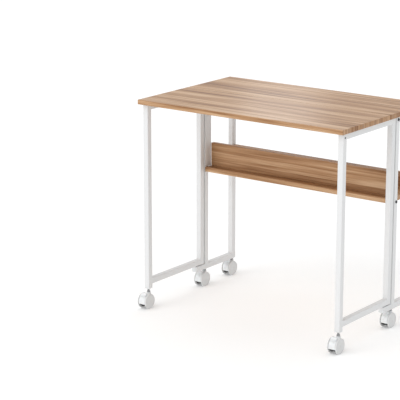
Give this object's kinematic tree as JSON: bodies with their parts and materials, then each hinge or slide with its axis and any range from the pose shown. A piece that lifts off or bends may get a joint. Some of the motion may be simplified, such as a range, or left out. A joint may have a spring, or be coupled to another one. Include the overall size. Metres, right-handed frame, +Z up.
{
  "type": "drop-leaf sewing table",
  "caption": "Rolling sewing table with a wood-look top, a drop leaf on swing-out steel gates, a shelf with a front panel, and small braked casters.",
  "frame": {"origin": "on the floor, below the middle of the whole table with its leaf raised", "axes": "+X along the table length, to the right as seen from the leaf side; -Y towards the drop leaf; +Z up"},
  "size_m": [0.8, 0.538, 0.725],
  "materials": {
    "oak_board": "satin wood-look melamine, grain along the length",
    "white_paint": "white powder coat",
    "white_plastic": "moulded white plastic",
    "wheel_plastic": "off-white moulded wheel",
    "zinc_steel": "zinc-plated steel",
    "black_steel": "black oxide steel"
  },
  "bodies": {
    "table_frame": {"left_end_frame": "white_paint", "right_end_frame": "white_paint", "top_cross_rail": "white_paint", "fixed_top": "oak_board", "shelf_board": "oak_board", "front_panel": "oak_board", "back_board": "oak_board", "left_gate_top_pin": "zinc_steel", "left_gate_bottom_pin": "zinc_steel", "right_gate_top_pin": "zinc_steel", "right_gate_bottom_pin": "zinc_steel", "left_shelf_bolt": "black_steel", "left_rail_bolt": "black_steel", "right_shelf_bolt": "black_steel", "right_rail_bolt": "black_steel", "left_hinge_fixed_plate": "zinc_steel", "right_hinge_fixed_plate": "zinc_steel", "left_hinge_pin": "zinc_steel", "right_hinge_pin": "zinc_steel", "left_front_caster_stem": "zinc_steel", "left_back_caster_stem": "zinc_steel", "right_front_caster_stem": "zinc_steel", "right_back_caster_stem": "zinc_steel"},
    "leaf": {"drop_leaf": "oak_board", "left_hinge_leaf_plate": "zinc_steel", "right_hinge_leaf_plate": "zinc_steel"},
    "left_gate": {"left_gate_frame": "white_paint", "left_gate_caster_stem": "zinc_steel"},
    "right_gate": {"right_gate_frame": "white_paint", "right_gate_caster_stem": "zinc_steel"},
    "left_gate_caster": {"left_gate_caster_hood": "white_plastic"},
    "left_gate_wheels": {"left_gate_caster_axle": "zinc_steel", "left_gate_left_wheel": "wheel_plastic", "left_gate_right_wheel": "wheel_plastic"},
    "left_gate_brake": {"left_gate_brake_lever": "white_plastic"},
    "left_front_caster": {"left_front_caster_hood": "white_plastic"},
    "left_front_wheels": {"left_front_caster_axle": "zinc_steel", "left_front_left_wheel": "wheel_plastic", "left_front_right_wheel": "wheel_plastic"},
    "left_front_brake": {"left_front_brake_lever": "white_plastic"},
    "left_back_caster": {"left_back_caster_hood": "white_plastic"},
    "left_back_wheels": {"left_back_caster_axle": "zinc_steel", "left_back_left_wheel": "wheel_plastic", "left_back_right_wheel": "wheel_plastic"},
    "left_back_brake": {"left_back_brake_lever": "white_plastic"},
    "right_gate_caster": {"right_gate_caster_hood": "white_plastic"},
    "right_gate_wheels": {"right_gate_caster_axle": "zinc_steel", "right_gate_left_wheel": "wheel_plastic", "right_gate_right_wheel": "wheel_plastic"},
    "right_gate_brake": {"right_gate_brake_lever": "white_plastic"},
    "right_front_caster": {"right_front_caster_hood": "white_plastic"},
    "right_front_wheels": {"right_front_caster_axle": "zinc_steel", "right_front_left_wheel": "wheel_plastic", "right_front_right_wheel": "wheel_plastic"},
    "right_front_brake": {"right_front_brake_lever": "white_plastic"},
    "right_back_caster": {"right_back_caster_hood": "white_plastic"},
    "right_back_wheels": {"right_back_caster_axle": "zinc_steel", "right_back_left_wheel": "wheel_plastic", "right_back_right_wheel": "wheel_plastic"},
    "right_back_brake": {"right_back_brake_lever": "white_plastic"}
  },
  "joints": [
    {"name": "left_gate_swing", "type": "hinge", "parent": "table_frame", "child": "left_gate", "pos_m": [-0.382, 0.066, 0.08], "axis": [0, 0, 1], "range_deg": [0, 90]},
    {"name": "right_gate_swing", "type": "hinge", "parent": "table_frame", "child": "right_gate", "pos_m": [0.382, 0.066, 0.08], "axis": [0, 0, -1], "range_deg": [0, 90]},
    {"name": "leaf_lift", "type": "hinge", "parent": "table_frame", "child": "leaf", "pos_m": [0, 0.025, 0.7115], "axis": [-1, 0, 0], "range_deg": [0, 4]},
    {"name": "left_gate_swivel", "type": "hinge", "parent": "left_gate", "child": "left_gate_caster", "pos_m": [-0.382, -0.229, 0.05], "axis": [0, 0, 1], "continuous": true},
    {"name": "left_gate_roll", "type": "hinge", "parent": "left_gate_caster", "child": "left_gate_wheels", "pos_m": [-0.382, -0.243, 0.026], "axis": [1, 0, 0], "continuous": true},
    {"name": "left_gate_brake_press", "type": "hinge", "parent": "left_gate_caster", "child": "left_gate_brake", "pos_m": [-0.382, -0.25262, 0.0441], "axis": [1, 0, 0], "range_deg": [0, 7]},
    {"name": "left_front_swivel", "type": "hinge", "parent": "table_frame", "child": "left_front_caster", "pos_m": [-0.382, 0.091, 0.05], "axis": [0, 0, 1], "continuous": true},
    {"name": "left_front_roll", "type": "hinge", "parent": "left_front_caster", "child": "left_front_wheels", "pos_m": [-0.382, 0.077, 0.026], "axis": [1, 0, 0], "continuous": true},
    {"name": "left_front_brake_press", "type": "hinge", "parent": "left_front_caster", "child": "left_front_brake", "pos_m": [-0.382, 0.06738, 0.0441], "axis": [1, 0, 0], "range_deg": [0, 7]},
    {"name": "left_back_swivel", "type": "hinge", "parent": "table_frame", "child": "left_back_caster", "pos_m": [-0.382, 0.257, 0.05], "axis": [0, 0, 1], "continuous": true},
    {"name": "left_back_roll", "type": "hinge", "parent": "left_back_caster", "child": "left_back_wheels", "pos_m": [-0.382, 0.243, 0.026], "axis": [1, 0, 0], "continuous": true},
    {"name": "left_back_brake_press", "type": "hinge", "parent": "left_back_caster", "child": "left_back_brake", "pos_m": [-0.382, 0.23338, 0.0441], "axis": [1, 0, 0], "range_deg": [0, 7]},
    {"name": "right_gate_swivel", "type": "hinge", "parent": "right_gate", "child": "right_gate_caster", "pos_m": [0.382, -0.229, 0.05], "axis": [0, 0, 1], "continuous": true},
    {"name": "right_gate_roll", "type": "hinge", "parent": "right_gate_caster", "child": "right_gate_wheels", "pos_m": [0.382, -0.243, 0.026], "axis": [1, 0, 0], "continuous": true},
    {"name": "right_gate_brake_press", "type": "hinge", "parent": "right_gate_caster", "child": "right_gate_brake", "pos_m": [0.382, -0.25262, 0.0441], "axis": [1, 0, 0], "range_deg": [0, 7]},
    {"name": "right_front_swivel", "type": "hinge", "parent": "table_frame", "child": "right_front_caster", "pos_m": [0.382, 0.091, 0.05], "axis": [0, 0, 1], "continuous": true},
    {"name": "right_front_roll", "type": "hinge", "parent": "right_front_caster", "child": "right_front_wheels", "pos_m": [0.382, 0.077, 0.026], "axis": [1, 0, 0], "continuous": true},
    {"name": "right_front_brake_press", "type": "hinge", "parent": "right_front_caster", "child": "right_front_brake", "pos_m": [0.382, 0.06738, 0.0441], "axis": [1, 0, 0], "range_deg": [0, 7]},
    {"name": "right_back_swivel", "type": "hinge", "parent": "table_frame", "child": "right_back_caster", "pos_m": [0.382, 0.257, 0.05], "axis": [0, 0, 1], "continuous": true},
    {"name": "right_back_roll", "type": "hinge", "parent": "right_back_caster", "child": "right_back_wheels", "pos_m": [0.382, 0.243, 0.026], "axis": [1, 0, 0], "continuous": true},
    {"name": "right_back_brake_press", "type": "hinge", "parent": "right_back_caster", "child": "right_back_brake", "pos_m": [0.382, 0.23338, 0.0441], "axis": [1, 0, 0], "range_deg": [0, 7]}
  ]
}
